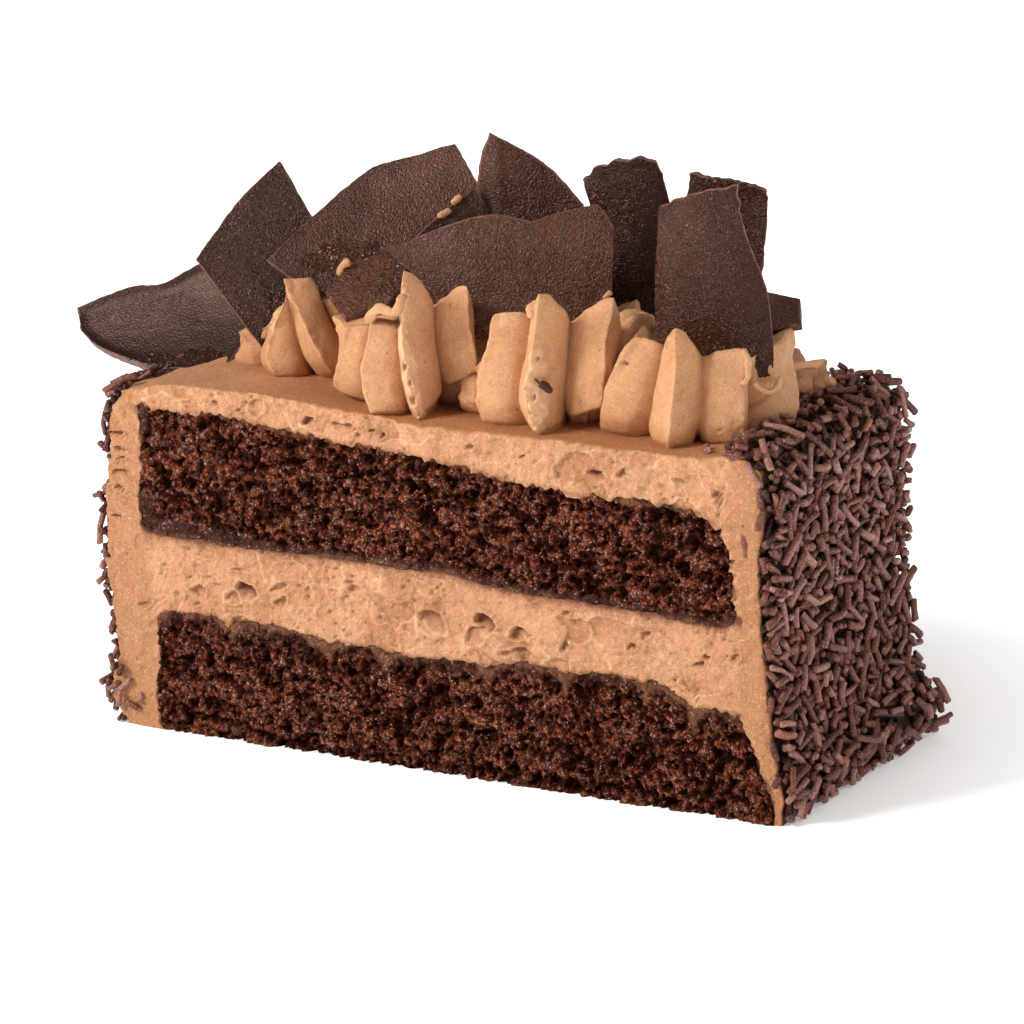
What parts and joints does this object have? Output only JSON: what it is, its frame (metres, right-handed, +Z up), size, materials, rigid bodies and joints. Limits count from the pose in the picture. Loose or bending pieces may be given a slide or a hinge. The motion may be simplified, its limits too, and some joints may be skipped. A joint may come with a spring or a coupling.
{
  "type": "slice of chocolate cake",
  "caption": "Upright slice of layered chocolate cake: dark sponges, mousse filling and coat, chocolate sprinkles on both ends, piped swirls and thin broken chocolate plates on top.",
  "frame": {"origin": "centre of the slice's flat underside, midway between the two cut faces", "axes": "+X along the slice towards its right end as seen from the cut front face, -Y out of the front face, +Z up"},
  "size_m": [0.1492, 0.046, 0.0982],
  "materials": {
    "sponge": "soft open crumb, matt",
    "mousse": "aerated cream, soft sheen",
    "chocolate": "dark chocolate, satin with fine bumps"
  },
  "bodies": {
    "root": {"sponge_lower": "sponge", "filling": "mousse", "sponge_upper": "sponge", "coat": "mousse", "swirl_1": "mousse", "swirl_2": "mousse", "swirl_3": "mousse", "swirl_4": "mousse", "swirl_5": "mousse", "plate_square": "chocolate", "plate_left": "chocolate", "plate_slab": "chocolate", "plate_front": "chocolate", "plate_sail": "chocolate", "plate_flat": "chocolate", "plate_chip": "chocolate", "plate_tall": "chocolate", "plate_curl": "chocolate", "plate_back": "chocolate", "plate_end": "chocolate"}
  },
  "joints": []
}
